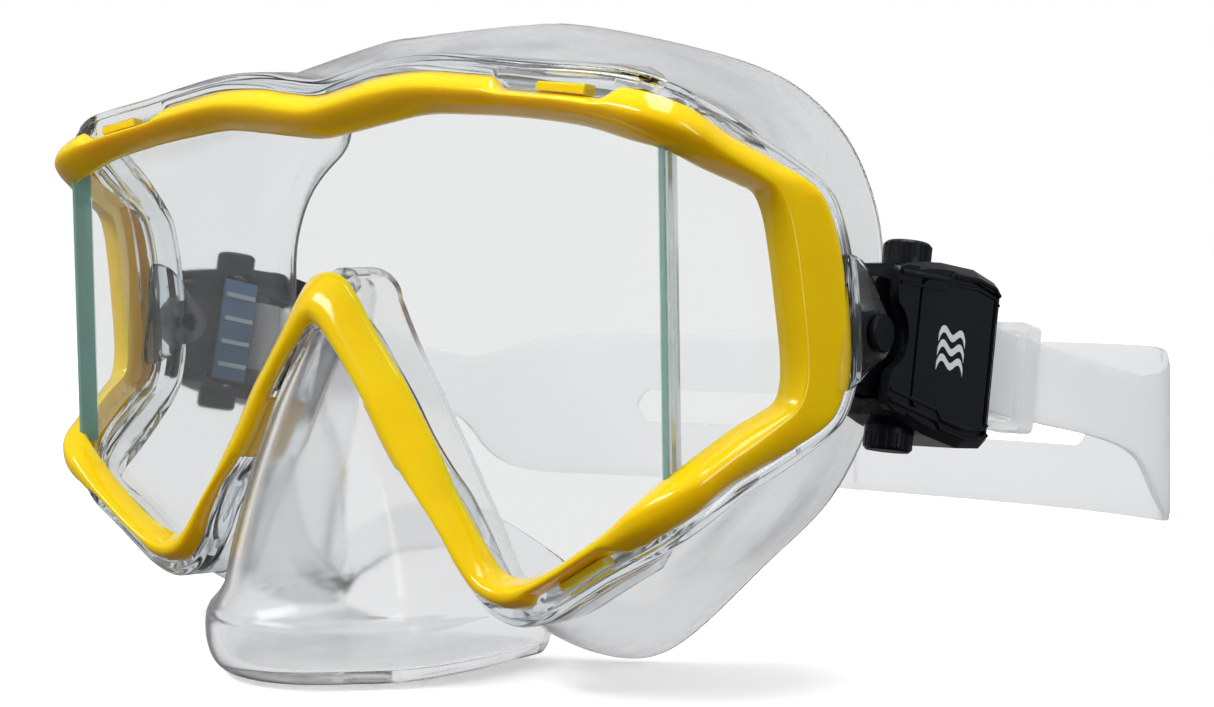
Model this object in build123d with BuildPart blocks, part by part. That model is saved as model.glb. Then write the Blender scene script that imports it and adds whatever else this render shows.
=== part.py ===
from build123d import *
import math
import os

os.makedirs("parts", exist_ok=True)

# ---------------------------------------------------------------- dimensions
# millimetres; +X to the wearer's left, -Y is the front of the mask, +Z up.
# The origin is under the middle of the mask, at the height it rests on.
LENS_Y = -68.85          # outer face of the front lens
LENS_Z = 58.5           # mid height of the lens corner above the resting plane
CORNER_X = 70.0         # half width of the front lens, at the bonded corner
WRAP = 65.0             # angle the side lenses turn back from the front lens
GLASS_T = 3.2           # tempered glass thickness
GLASS_EDGE = 3.0        # glass hidden under the front frame all round
BEZEL_T = 4.2           # height of the yellow frame above the glass
FRAME_FRONT = 2.6       # clear frame height above the glass
FRAME_BACK = 5.4        # clear frame depth behind the glass face
FRAME_RIM = 2.4         # clear frame showing outside the yellow one
SKIRT_T = 2.2           # silicone wall
BUCKLE_TILT = 12.0      # strap droop at rest
PIVOT_Y, PIVOT_Z = 32.0, -4.3
BUTTON_U = 12.7         # from the swivel pin to the push buttons
ROLLER_U = 19.7         # from the swivel pin to the strap roller
ROLLER_X, ROLLER_R = 80.6, 2.3
STRAP_T = 1.7
STRAP_HALF = 7.0
PIN_R = 1.8
RUN_GAP = 0.05          # radial running clearance

C, S = math.cos(math.radians(WRAP)), math.sin(math.radians(WRAP))
CB, SB = math.cos(math.radians(BUCKLE_TILT)), math.sin(math.radians(BUCKLE_TILT))

# reference planes -----------------------------------------------------------
FRONT = Plane(origin=(0, LENS_Y, LENS_Z), x_dir=(1, 0, 0), z_dir=(0, -1, 0))
SIDE = Plane(origin=(CORNER_X, LENS_Y, LENS_Z), x_dir=(C, S, 0), z_dir=(S, -C, 0))


def level(z):
    """Horizontal plane at height z from the lens middle."""
    return Plane(origin=(0, LENS_Y, LENS_Z + z))


def station(y):
    """Upright plane facing forward, y behind the lens face."""
    return Plane(origin=(0, LENS_Y + y, LENS_Z), x_dir=(1, 0, 0), z_dir=(0, -1, 0))


def buckle(x):
    """Side plane of the right buckle: local x runs along the strap, y up."""
    return Plane(
        origin=(x, LENS_Y + PIVOT_Y, LENS_Z + PIVOT_Z),
        x_dir=(0, CB, -SB),
        z_dir=(1, 0, 0),
    )


def across(u, x, v=0.0):
    """Plane square to the buckle's cross axis, at (u, v) and sideways x."""
    return Plane(
        origin=(
            x,
            LENS_Y + PIVOT_Y + u * CB + v * SB,
            LENS_Z + PIVOT_Z - u * SB + v * CB,
        ),
        x_dir=(1, 0, 0),
        z_dir=(0, SB, CB),
    )


def mirrored(points):
    """A right-hand outline joined to its mirror image, as one closed loop."""
    left = [(-x, y) for x, y in reversed(points) if abs(x) > 1e-6]
    return points + left


def grown(points, amount):
    """Closed outline moved outward by amount along its corner normals."""
    n = len(points)
    area = sum(
        points[i][0] * points[(i + 1) % n][1] - points[(i + 1) % n][0] * points[i][1]
        for i in range(n)
    )
    turn = 1.0 if area > 0 else -1.0
    out = []
    for i in range(n):
        (ax, ay), (bx, by), (cx, cy) = points[i - 1], points[i], points[(i + 1) % n]
        l1, l2 = math.hypot(bx - ax, by - ay), math.hypot(cx - bx, cy - by)
        n1 = ((by - ay) / l1 * turn, -(bx - ax) / l1 * turn)
        n2 = ((cy - by) / l2 * turn, -(cx - bx) / l2 * turn)
        k = 1.0 + n1[0] * n2[0] + n1[1] * n2[1]
        k = max(k, 0.6)
        out.append(
            (bx + amount * (n1[0] + n2[0]) / k, by + amount * (n1[1] + n2[1]) / k)
        )
    return out


# outlines (lens coordinates: x across, y up from the lens middle) -----------
WINDOW = mirrored([
    (0, 27.5), (14.6, 29.1), (24, 30.0), (34.2, 29.4), (44.1, 28.4), (55.9, 26.5),
    (64.8, 23.9), (70, 22.6), (78, 20.6), (78, -18.0), (70, -23.2), (64.6, -27.5),
    (60.4, -31.0), (55, -34.6), (50, -37.6), (44.5, -39.9), (40.5, -40.6),
    (37.6, -39.6), (34.8, -36.6), (28.8, -29.2), (25.1, -22.8), (21.3, -17.1),
    (17.5, -11.6), (13.6, -7.2), (9.6, -2.1), (5.9, 3.0), (3.2, 5.3), (0, 5.9),
])
BEZEL_OUT = mirrored([
    (0, 34.4), (12.5, 36.2), (24, 36.6), (32, 35.8), (44, 34.2), (60, 32.2),
    (70, 29.9), (80, 26.4), (80, -26.0), (70, -31.2), (65, -33.9), (60, -36.4),
    (55, -39.0), (50, -41.8), (44.7, -44.4), (40, -45.2), (36.8, -44.4),
    (33.8, -42.2), (31.0, -39.0), (27.0, -33.2), (23.4, -28.2), (19.5, -23.6),
    (16, -18.8), (12, -12.9), (8.6, -8.6), (4.9, -4.2), (0, -1.8),
])
# the same two outlines on the side lens (x runs back from the corner)
SIDE_WINDOW = [
    (-8, 24.6), (0, 22.6), (2, 21.7), (6.1, 19.9), (11.9, 17.6), (14.2, 16.4),
    (15.5, 13.6), (16.6, 8.0), (17.6, 0.0), (18.3, -7.0), (18.3, -10.8),
    (17.2, -13.6), (14.4, -15.2), (10.4, -17.1), (6.6, -19.2), (0, -23.2),
    (-8, -28.4),
]
SIDE_BEZEL = [
    (-8, 31.6), (0, 29.2), (3.5, 27.7), (7, 26.1), (11.1, 23.9), (16.3, 21.2),
    (20.1, 19.5), (22.9, 17.5), (25.0, 15.0), (26.2, 11.9), (27.4, 7.3),
    (28.1, 1.6), (28.6, -5.0), (28.5, -8.8), (27.5, -12.9), (25.6, -16.4),
    (22.0, -19.1), (18.1, -21.1), (14.0, -23.0), (8.5, -25.4), (0, -31.0),
    (-8, -35.2),
]
SIDE_FRAME_END = 26.4    # the clear frame stops here behind the yellow one


def wrapped(front_points, side_points, depth_out, depth_in):
    """Right half plate that follows the front lens and turns at the corner."""
    with BuildPart() as front_half:
        with BuildSketch(FRONT.offset(-depth_in)):
            with BuildLine():
                Polyline(*front_points, close=True)
            make_face()
        extrude(amount=depth_out + depth_in)
        split(bisect_by=MITRE, keep=Keep.TOP)
        split(bisect_by=Plane.YZ, keep=Keep.TOP)
    with BuildPart() as side_half:
        with BuildSketch(SIDE.offset(-depth_in)):
            with BuildLine():
                Polyline(*side_points, close=True)
            make_face()
        extrude(amount=depth_out + depth_in)
        split(bisect_by=MITRE, keep=Keep.BOTTOM)
    return front_half.part, side_half.part


# plane through the bonded corner, halving the angle between the two lenses;
# its positive side holds the front lens
half = math.radians(WRAP / 2)
MITRE = Plane(
    origin=(CORNER_X, LENS_Y, LENS_Z),
    x_dir=(0, 0, 1),
    z_dir=(-math.cos(half), -math.sin(half), 0),
)


def save(piece, name):
    piece.part.label = name
    export_step(piece.part, f"parts/{name}.step")


# ------------------------------------------------------------------- lenses
GLASS = grown(WINDOW, GLASS_EDGE)
SIDE_GLASS = grown(SIDE_WINDOW, GLASS_EDGE)
GLASS_GAP = 0.25         # half the bond line at the corner

with BuildPart() as front_lens:
    with BuildSketch(FRONT):
        with BuildLine():
            Polyline(*GLASS, close=True)
        make_face()
    extrude(amount=-GLASS_T)
    split(bisect_by=MITRE.offset(GLASS_GAP), keep=Keep.TOP)
    split(
        bisect_by=Plane(
            origin=(-CORNER_X, LENS_Y, LENS_Z),
            x_dir=(0, 0, 1),
            z_dir=(math.cos(half), -math.sin(half), 0),
        ).offset(GLASS_GAP),
        keep=Keep.TOP,
    )
save(front_lens, "front_lens")

with BuildPart() as side_lens_left:
    with BuildSketch(SIDE):
        with BuildLine():
            Polyline(*SIDE_GLASS, close=True)
        make_face()
    extrude(amount=-GLASS_T)
    split(bisect_by=MITRE.offset(-GLASS_GAP), keep=Keep.BOTTOM)
save(side_lens_left, "side_lens_left")

with BuildPart() as side_lens_right:
    mirror(side_lens_left.part, about=Plane.YZ)
save(side_lens_right, "side_lens_right")

# the bond line is a thin upright bar filling the gap between the two panes
seam_top, seam_bottom = 24.8, -25.6
with BuildPart() as lens_seam_left:
    with BuildSketch(MITRE.offset(-GLASS_GAP)):
        with Locations(((seam_top + seam_bottom) / 2, 0)):
            Rectangle(seam_top - seam_bottom, 30)
    extrude(amount=2 * GLASS_GAP)
    with BuildSketch(level(seam_bottom)):
        with BuildLine():
            k = math.tan(half) * GLASS_T
            Polyline(
                (CORNER_X - 6, 0), (CORNER_X, 0), (CORNER_X + 6 * C, 6 * S),
                (CORNER_X - k + 6 * C, GLASS_T + 6 * S), (CORNER_X - k, GLASS_T),
                (CORNER_X - 6, GLASS_T), close=True,
            )
        make_face()
    extrude(amount=seam_top - seam_bottom, mode=Mode.INTERSECT)
save(lens_seam_left, "lens_seam_left")

with BuildPart() as lens_seam_right:
    mirror(lens_seam_left.part, about=Plane.YZ)
save(lens_seam_right, "lens_seam_right")

# -------------------------------------------------------------- front frame
front_ring, side_ring = wrapped(BEZEL_OUT, SIDE_BEZEL, BEZEL_T, 0.0)
front_hole, side_hole = wrapped(WINDOW, SIDE_WINDOW, BEZEL_T + 1, 1.0)
with BuildPart() as bezel_frame:
    add(front_ring)
    add(side_ring)
    add(front_hole, mode=Mode.SUBTRACT)
    add(side_hole, mode=Mode.SUBTRACT)
    # stepped notches where the clear frame shows through the yellow one
    for cx, cz, wx, wz in (
        (44.0, 36.6, 7.4, 5.4), (59.6, 34.2, 4.4, 5.4),
        (56.0, -42.4, 6.0, 5.0), (10.2, -12.0, 3.6, 3.6), (17.0, -22.6, 3.0, 4.0),
    ):
        with BuildSketch(FRONT.offset(0.0)):
            with Locations((cx, cz)):
                Rectangle(wx, wz)
        extrude(amount=BEZEL_T, mode=Mode.SUBTRACT)
    mirror(about=Plane.YZ)
save(bezel_frame, "bezel_frame")

# -------------------------------------------------------- clear inner frame
RIM = grown(BEZEL_OUT, FRAME_RIM)
SIDE_RIM = [(min(x, SIDE_FRAME_END), y) for x, y in grown(SIDE_BEZEL, FRAME_RIM)]
front_out, side_out = wrapped(RIM, SIDE_RIM, FRAME_FRONT, FRAME_BACK)
front_in, side_in = wrapped(GLASS, SIDE_GLASS, FRAME_FRONT + 1, FRAME_BACK + 1)

EAR_IN, EAR_OUT = 76.2, 85.2          # outer faces of the two ear plates
EAR_T = 1.6
ARM_IN, ARM_OUT = 78.1, 83.2          # the buckle arm between them
with BuildPart() as inner_frame:
    add(front_out)
    add(side_out)
    add(front_in, mode=Mode.SUBTRACT)
    add(side_in, mode=Mode.SUBTRACT)
    # a pair of ears behind the side bar takes the buckle's swivel pin
    for x0 in (EAR_IN, EAR_OUT - EAR_T - 0.2):
        with BuildSketch(buckle(x0)):
            with BuildLine():
                l1 = Line((-5.6, -9.0), (-7.6, 9.0))
                l2 = Line(l1 @ 1, (-4.0, 8.0))
                l3 = Line(l2 @ 1, (1.6, 3.9))
                l4 = ThreePointArc(l3 @ 1, (4.2, 0), (1.6, -3.9))
                l5 = Line(l4 @ 1, (-4.0, -8.0))
                l6 = Line(l5 @ 1, l1 @ 0)
            make_face()
            Circle(PIN_R, mode=Mode.SUBTRACT)
        extrude(amount=EAR_T + (0.2 if x0 > 80 else 0.0))
    # the web that joins the two ears to the ring
    with BuildSketch(buckle(EAR_IN)):
        with BuildLine():
            Polyline((-9.1, 8.0), (-4.9, 8.0), (-4.9, -8.0), (-7.2, -8.0), close=True)
        make_face()
    extrude(amount=EAR_OUT - EAR_IN)
    add(bezel_frame.part, mode=Mode.SUBTRACT)
    add(side_in, mode=Mode.SUBTRACT)
    mirror(about=Plane.YZ)
save(inner_frame, "inner_frame")

# -------------------------------------------------------------- face skirt
# outer stations from the lens back to the face rim: (y, right-hand outline)
STATIONS = [
    (2.0, [(0, 33.0), (16, 34.6), (32, 34.6), (52, 31.6), (70, 27.5), (77, 16.0),
           (78.0, 0), (77, -16.0), (70, -28.5), (57, -36.8), (43, -43.5), (33, -41.0),
           (22, -28.0), (10, -20.0), (0, -18.0)]),
    (12.0, [(0, 36.0), (16, 37.6), (32, 37.0), (52, 33.5), (70, 28.0), (77.5, 17.0),
            (78.5, 0), (77.5, -17.0), (70, -29.5), (57, -40.5), (43, -49.5), (32, -48.5),
            (22, -41.0), (10, -34.0), (0, -32.0)]),
    (22.0, [(0, 42.0), (16, 42.2), (32, 40.6), (52, 35.2), (69, 27.0), (76.0, 16.0),
            (77.5, 0), (76.0, -16.5), (68, -30.0), (56, -42.5), (43, -54.0), (32, -54.0),
            (22, -48.0), (10, -43.0), (0, -42.0)]),
    (34.0, [(0, 47.0), (16, 46.6), (32, 43.6), (50, 37.6), (65, 28.6), (73.6, 16.0),
            (74.8, 0), (74.4, -14.0), (68, -29.5), (56, -42.5), (43, -56.0), (32, -57.0),
            (22, -51.0), (10, -46.0), (0, -45.0)]),
    (52.0, [(0, 48.0), (16, 47.4), (32, 44.0), (50, 38.0), (64, 28.0), (71.0, 15.0),
            (72.6, 0), (72.0, -13.0), (65, -28.0), (55, -40.0), (43, -52.0), (32, -54.0),
            (22, -50.0), (10, -46.0), (0, -45.0)]),
]
# nose pocket levels: (height, front, half width), each a rounded nose shape
NOSE = [
    (2.0, -2.0, 3.4), (-6.0, -4.4, 6.6), (-16.0, -9.4, 11.8), (-30.0, -14.6, 19.0),
    (-44.0, -18.6, 23.6), (-58.5, -20.4, 26.0),
]


def shell_loft(shrink):
    with BuildPart() as body:
        for y, pts in STATIONS:
            with BuildSketch(station(y)):
                with BuildLine():
                    Spline(*grown(mirrored(pts), -shrink), periodic=True)
                make_face()
        loft()
    return body.part


def nose_loft(shrink, top, bottom, back):
    with BuildPart() as body:
        for i, (z, front, wide) in enumerate(NOSE):
            h = z + (top if i == 0 else bottom if i == len(NOSE) - 1 else 0.0)
            w, f = wide - shrink, front + shrink
            with BuildSketch(level(h)):
                with BuildLine():
                    s1 = Spline((-w, 6), (-w * 0.66, f * 0.52 + 0.6), (0, f),
                                (w * 0.66, f * 0.52 + 0.6), (w, 6),
                                tangents=((0.15, -1), (0.15, 1)))
                    Polyline((w, 6), (w * 1.02, back), (-w * 1.02, back), (-w, 6))
                make_face()
        loft()
    return body.part


def prism_behind(depth):
    k = math.tan(half) * depth
    x0 = CORNER_X - k
    t = (27.0 - depth) / S
    right = [(x0, depth), (x0 + C * t, 27.0), (92, 27.0 + (depth - GLASS_T)), (92, 60)]
    with BuildPart() as body:
        with BuildSketch(level(-70)):
            with BuildLine():
                Polyline(*right, *[(-x, y) for x, y in reversed(right)], close=True)
            make_face()
        extrude(amount=140)
    return body.part


# the wearer's face trims the rim: brow and cheeks far apart, lip further forward
with BuildPart() as face:
    for z, y in ((62, 30.0), (20, 34.0), (-20, 31.0), (-62, 19.0)):
        with BuildSketch(level(z)):
            with Locations((0, y + 82.0)):
                Circle(82.0)
    loft(ruled=True)

front_win, side_win = wrapped(
    grown(WINDOW, 0.8), grown(SIDE_WINDOW, 0.8), -1.0, GLASS_T + 5.0
)
with BuildPart() as skirt_cavity:
    add(shell_loft(SKIRT_T + 0.3))
    add(prism_behind(GLASS_T + 2.4), mode=Mode.INTERSECT)
    add(front_win)
    add(side_win)
    mirror(front_win, about=Plane.YZ)
    mirror(side_win, about=Plane.YZ)

with BuildPart() as skirt:
    add(shell_loft(0.0))
    add(prism_behind(GLASS_T), mode=Mode.INTERSECT)
    add(nose_loft(0.0, 0.0, 0.0, 24.0))
    add(skirt_cavity.part, mode=Mode.SUBTRACT)
    add(nose_loft(SKIRT_T, -3.4, 2.6, 60.0), mode=Mode.SUBTRACT)
    add(face.part, mode=Mode.SUBTRACT)
    for other in (inner_frame, bezel_frame, front_lens, side_lens_left,
                  side_lens_right, lens_seam_left, lens_seam_right):
        add(other.part, mode=Mode.SUBTRACT)
    # flat resting plane under the cheeks
    with BuildSketch(level(-58.5)):
        Rectangle(220, 200)
    extrude(amount=-20, mode=Mode.SUBTRACT)
save(skirt, "skirt")

# -------------------------------------------------------------- strap buckle
# built on the wearer's left, in the buckle's own directions: u runs back along
# the strap, v across it, x sideways; the other buckle is its mirror image
HALF_W = [(4.9, 11.6), (9.0, 12.6), (14.0, 13.4), (24.0, 14.2), (31.0, 13.4), (32.4, 12.4)]
COVER_TOP, COVER_LOW, COVER_WALL = 87.0, 77.0, 1.5
BORE_GAP = 0.12
CHEEK_IN, CHEEK_OUT = 9.0, 10.4      # the two side cheeks, either side of the roller


def cover_outline(inset):
    top = [(u, w - inset) for u, w in HALF_W]
    top[0] = (top[0][0] + (inset if inset else 0.0), top[0][1])
    top[-1] = (top[-1][0] - inset, top[-1][1])
    return top + [(u, -w) for u, w in reversed(top)]


with BuildPart() as buckle_cover_left:
    with BuildSketch(buckle(COVER_LOW)):
        with BuildLine():
            Polyline(*cover_outline(0.0), close=True)
        make_face()
    extrude(amount=COVER_TOP - COVER_LOW)
    top_edges = buckle_cover_left.faces().sort_by(Axis.X)[-1].edges()
    chamfer(top_edges, 1.1)
    # hollow inside, open on the head side
    with BuildSketch(buckle(COVER_LOW)):
        with BuildLine():
            Polyline(*cover_outline(COVER_WALL), close=True)
        make_face()
    extrude(amount=85.3 - COVER_LOW, mode=Mode.SUBTRACT)
    # mouth for the strap at the back and for the arm at the front
    with BuildSketch(buckle(COVER_LOW)):
        with Locations((31.5, 0)):
            Rectangle(8.0, 16.6)
    extrude(amount=85.3 - COVER_LOW, mode=Mode.SUBTRACT)
    with BuildSketch(buckle(COVER_LOW)):
        with Locations((5.0, 0)):
            Rectangle(6.0, 18.4)
    extrude(amount=83.4 - COVER_LOW, mode=Mode.SUBTRACT)
    # round relief about the swivel pin
    with BuildSketch(buckle(COVER_LOW)):
        Circle(4.9)
    extrude(amount=COVER_TOP - COVER_LOW, mode=Mode.SUBTRACT)
    # raised inner field inside a stepped border groove
    with BuildSketch(buckle(COVER_TOP - 0.5)):
        with BuildLine():
            Polyline(*cover_outline(2.1), close=True)
        make_face()
        with BuildLine():
            Polyline(*cover_outline(2.8), close=True)
        make_face(mode=Mode.SUBTRACT)
    extrude(amount=1.0, mode=Mode.SUBTRACT)
    # holes for the two push buttons
    with BuildSketch(across(BUTTON_U, 80.5, -20)):
        Circle(3.8 + BORE_GAP)
    extrude(amount=40, mode=Mode.SUBTRACT)
save(buckle_cover_left, "buckle_cover_left")

with BuildPart() as buckle_base_left:
    # the arm: an eye round the swivel pin, widening into a cross bar
    with BuildSketch(buckle(ARM_IN)):
        Circle(4.5)
        with BuildLine():
            Polyline((0, 4.5), (0.2, 8.0), (1.2, 8.9), (8.6, 8.9), (8.6, -8.9),
                     (1.2, -8.9), (0.2, -8.0), (0, -4.5), close=True)
        make_face()
        Circle(PIN_R + RUN_GAP, mode=Mode.SUBTRACT)
    extrude(amount=ARM_OUT - ARM_IN)
    # two side cheeks carry the roller axle, the pawl and the buttons
    for v0 in (-CHEEK_OUT, CHEEK_IN):
        with BuildSketch(buckle(COVER_LOW)):
            with Locations((7.4, v0)):
                Rectangle(21.6, CHEEK_OUT - CHEEK_IN, align=(Align.MIN, Align.MIN))
        extrude(amount=83.2 - COVER_LOW)
    # cross bar web between the cheeks
    with BuildSketch(buckle(ARM_IN)):
        with Locations((7.7, 0)):
            Rectangle(1.8, 19.6)
    extrude(amount=ARM_OUT - ARM_IN)
    with BuildSketch(across(BUTTON_U, 80.5, -20)):
        Circle(1.6 + RUN_GAP)
    extrude(amount=40, mode=Mode.SUBTRACT)
    with BuildSketch(across(ROLLER_U, ROLLER_X, -20)):
        Circle(1.15)
    extrude(amount=40, mode=Mode.SUBTRACT)
    with BuildSketch(across(10.4, 78.6, -20)):
        Circle(0.8 + RUN_GAP)
    extrude(amount=40, mode=Mode.SUBTRACT)
save(buckle_base_left, "buckle_base_left")

with BuildPart() as swivel_pin_left:
    with BuildSketch(buckle(EAR_IN)):
        Circle(PIN_R)
    extrude(amount=EAR_OUT - EAR_IN)
    with BuildSketch(buckle(EAR_OUT)):
        Circle(2.9)
    extrude(amount=0.8)
    chamfer(swivel_pin_left.faces().sort_by(Axis.X)[-1].edges(), 0.3)
save(swivel_pin_left, "swivel_pin_left")

with BuildPart() as roller_axle_left:
    with BuildSketch(across(ROLLER_U, ROLLER_X, -CHEEK_OUT)):
        Circle(1.15)
    extrude(amount=2 * CHEEK_OUT)
save(roller_axle_left, "roller_axle_left")

with BuildPart() as strap_roller_left:
    with BuildSketch(across(ROLLER_U, ROLLER_X, -8.8)):
        Circle(ROLLER_R)
        Circle(1.15 + RUN_GAP, mode=Mode.SUBTRACT)
    extrude(amount=17.6)
save(strap_roller_left, "strap_roller_left")

# ratchet pawl: trunnions in the cheeks, a toothed bar against the strap's bend
with BuildPart() as ratchet_pawl_left:
    with BuildSketch(across(10.4, 78.6, -CHEEK_OUT)):
        Circle(0.8)
    extrude(amount=2 * CHEEK_OUT)
    with BuildSketch(across(10.4, 78.6, -6.0)):
        with BuildLine():
            Polyline((-1.3, -1.1), (1.2, -1.3), (2.8, 2.2), (2.6, 4.4), (1.4, 4.4),
                     (-0.6, 1.4), close=True)
        make_face()
    extrude(amount=12.0)
save(ratchet_pawl_left, "ratchet_pawl_left")

# push buttons: a ribbed cap on a stem, hollow underneath for its spring
CROSS = across(BUTTON_U, 80.5, 0)
MIDDLE = Plane(origin=CROSS.origin, x_dir=CROSS.x_dir, z_dir=CROSS.z_dir)
with BuildPart() as upper_button_left:
    with BuildSketch(CROSS.offset(12.2)):
        Circle(3.8)
    extrude(amount=4.1)
    chamfer(upper_button_left.edges().filter_by(GeomType.CIRCLE).sort_by(
        Axis((0, 0, 0), tuple(CROSS.z_dir)))[-1:], 0.5)
    with BuildSketch(CROSS.offset(12.2)):
        Circle(3.0)
    extrude(amount=3.0, mode=Mode.SUBTRACT)
    with BuildSketch(CROSS.offset(7.4)):
        Circle(1.6)
    extrude(amount=8.2)
    # grip flutes round the rim
    with BuildSketch(CROSS.offset(13.6)):
        with PolarLocations(3.95, 18):
            Circle(0.32)
    extrude(amount=3.2, mode=Mode.SUBTRACT)
save(upper_button_left, "upper_button_left")

# return spring round the stem, from the cheek up into the cap
with BuildPart() as coil:
    with BuildLine():
        helix = Helix(pitch=1.2, height=3.4, radius=2.25)
    with BuildSketch(Plane(helix @ 0, z_dir=helix % 0)):
        Circle(0.22)
    sweep(path=helix, is_frenet=True)
with BuildPart() as upper_spring_left:
    add(CROSS.offset(10.75).location * coil.part)
save(upper_spring_left, "upper_spring_left")

with BuildPart() as lower_button_left:
    mirror(upper_button_left.part, about=MIDDLE)
save(lower_button_left, "lower_button_left")

with BuildPart() as lower_spring_left:
    mirror(upper_spring_left.part, about=MIDDLE)
save(lower_spring_left, "lower_spring_left")

# plain badge of three waves let into the cover
with BuildPart() as wave_badge_left:
    for k in (-1, 0, 1):
        with BuildSketch(buckle(COVER_TOP)):
            with BuildLine():
                s1 = Spline((13.6, k * 2.2 - 1.0), (15.6, k * 2.2 + 0.4), (17.6, k * 2.2 - 0.6),
                            (19.6, k * 2.2 + 0.4), (21.6, k * 2.2 - 1.0))
                s2 = Spline((21.6, k * 2.2 + 0.1), (19.6, k * 2.2 + 1.5), (17.6, k * 2.2 + 0.5),
                            (15.6, k * 2.2 + 1.5), (13.6, k * 2.2 + 0.1))
                Line(s1 @ 1, s2 @ 0)
                Line(s2 @ 1, s1 @ 0)
            make_face()
        extrude(amount=0.12)
save(wave_badge_left, "wave_badge_left")

# -------------------------------------------------------------- strap
# side view of the band (y back from the lens, z): narrow at the buckle,
# widening into the split back band
STRAP_TOP = [(65, -4.5), (72, -5.9), (84, -8.5), (107, -13.2), (122, -16.0), (132, -15.2),
             (139, -13.0), (146, -12.0), (164, -12.0)]
STRAP_LOW = [(164, -46.5), (146, -46.0), (136, -44.0), (128, -39.5), (119.5, -31.3),
             (107, -26.6), (84, -21.9), (72, -19.6), (65, -18.1)]
# top view of the band's two faces (x, y), from the buckle to the middle back
OUTER = ROLLER_X + ROLLER_R + 0.2 + STRAP_T
STRAP_OUT = [(OUTER, 65), (OUTER, 74), (85.6, 100), (86.2, 122), (84.4, 136), (77.0, 147),
             (62, 153.6), (40, 157), (0, 158.4)]
STRAP_IN = [(OUTER - STRAP_T, 65), (OUTER - STRAP_T, 74), (83.9, 99.8), (84.4, 121.4),
            (82.8, 134.8), (75.9, 145.2), (61.4, 151.9), (39.7, 155.3), (0, 156.7)]
TAIL_X = ROLLER_X - ROLLER_R - 0.2

with BuildPart() as strap_end:
    with BuildSketch(across(0, 0, -STRAP_HALF)):
        with Locations((ROLLER_X, ROLLER_U)):
            Circle(ROLLER_R + 0.2 + STRAP_T)
            Circle(ROLLER_R + 0.2, mode=Mode.SUBTRACT)
            Rectangle(12, 6, align=(Align.CENTER, Align.MIN), mode=Mode.SUBTRACT)
        with Locations((OUTER, ROLLER_U)):
            Rectangle(STRAP_T, 20, align=(Align.MAX, Align.MIN))
        # the tail folds back against the band behind the buckle
        with BuildLine():
            Polyline((TAIL_X, ROLLER_U), (TAIL_X - STRAP_T, ROLLER_U),
                     (TAIL_X - STRAP_T, 26), (OUTER - 2 * STRAP_T - 0.3, 38),
                     (OUTER - 2 * STRAP_T - 0.3, 55), (OUTER - STRAP_T - 0.3, 55),
                     (OUTER - STRAP_T - 0.3, 38), (TAIL_X, 26), close=True)
        make_face()
    extrude(amount=2 * STRAP_HALF)

with BuildPart() as strap:
    with BuildSketch(level(-70)):
        with BuildLine():
            Spline(*(STRAP_OUT + [(-x, y) for x, y in STRAP_OUT[-2::-1]]),
                   tangents=((0, 1), (0, -1)))
            Spline(*(STRAP_IN + [(-x, y) for x, y in STRAP_IN[-2::-1]]),
                   tangents=((0, 1), (0, -1)))
            Line((OUTER, 65), (OUTER - STRAP_T, 65))
            Line((-OUTER, 65), (-OUTER + STRAP_T, 65))
        make_face()
    extrude(amount=140)
    with BuildSketch(Plane(origin=(-120, LENS_Y, LENS_Z), x_dir=(0, 1, 0), z_dir=(1, 0, 0))):
        with BuildLine():
            upper = Spline(*STRAP_TOP)
            lower = Spline(*STRAP_LOW)
            Line(upper @ 1, lower @ 0)
            Line(lower @ 1, upper @ 0)
        make_face()
    extrude(amount=240, mode=Mode.INTERSECT)
    # the long slot that splits the back band in two
    with BuildSketch(station(170)):
        with Locations((0, -29.2)):
            SlotOverall(118, 8.0)
    extrude(amount=40, mode=Mode.SUBTRACT)
    add(strap_end.part)
    mirror(strap_end.part, about=Plane.YZ)
save(strap, "strap")

# loop that keeps the strap's tail against the band
with BuildPart() as strap_keeper_left:
    with BuildSketch(buckle(OUTER - 2 * STRAP_T - 2.0)):
        with Locations((45, 0)):
            Rectangle(5.0, 18.0)
    extrude(amount=2 * STRAP_T + 3.7)
    fillet(strap_keeper_left.edges().filter_by(
        Axis((0, 0, 0), (0, CB, -SB))), 1.0)
    with BuildSketch(buckle(OUTER - 2 * STRAP_T - 0.6)):
        with Locations((45, 0)):
            Rectangle(7.0, 15.2)
    extrude(amount=2 * STRAP_T + 0.9, mode=Mode.SUBTRACT)
save(strap_keeper_left, "strap_keeper_left")

# -------------------------------------------------------------- other side
for piece, name in (
    (buckle_cover_left, "buckle_cover_right"), (buckle_base_left, "buckle_base_right"),
    (swivel_pin_left, "swivel_pin_right"), (roller_axle_left, "roller_axle_right"),
    (strap_roller_left, "strap_roller_right"), (ratchet_pawl_left, "ratchet_pawl_right"),
    (upper_button_left, "upper_button_right"), (lower_button_left, "lower_button_right"),
    (upper_spring_left, "upper_spring_right"), (lower_spring_left, "lower_spring_right"),
    (wave_badge_left, "wave_badge_right"), (strap_keeper_left, "strap_keeper_right"),
):
    with BuildPart() as twin:
        mirror(piece.part, about=Plane.YZ)
    save(twin, name)
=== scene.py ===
import math

import bpy
import numpy as np
from mathutils import Matrix, Vector

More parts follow.
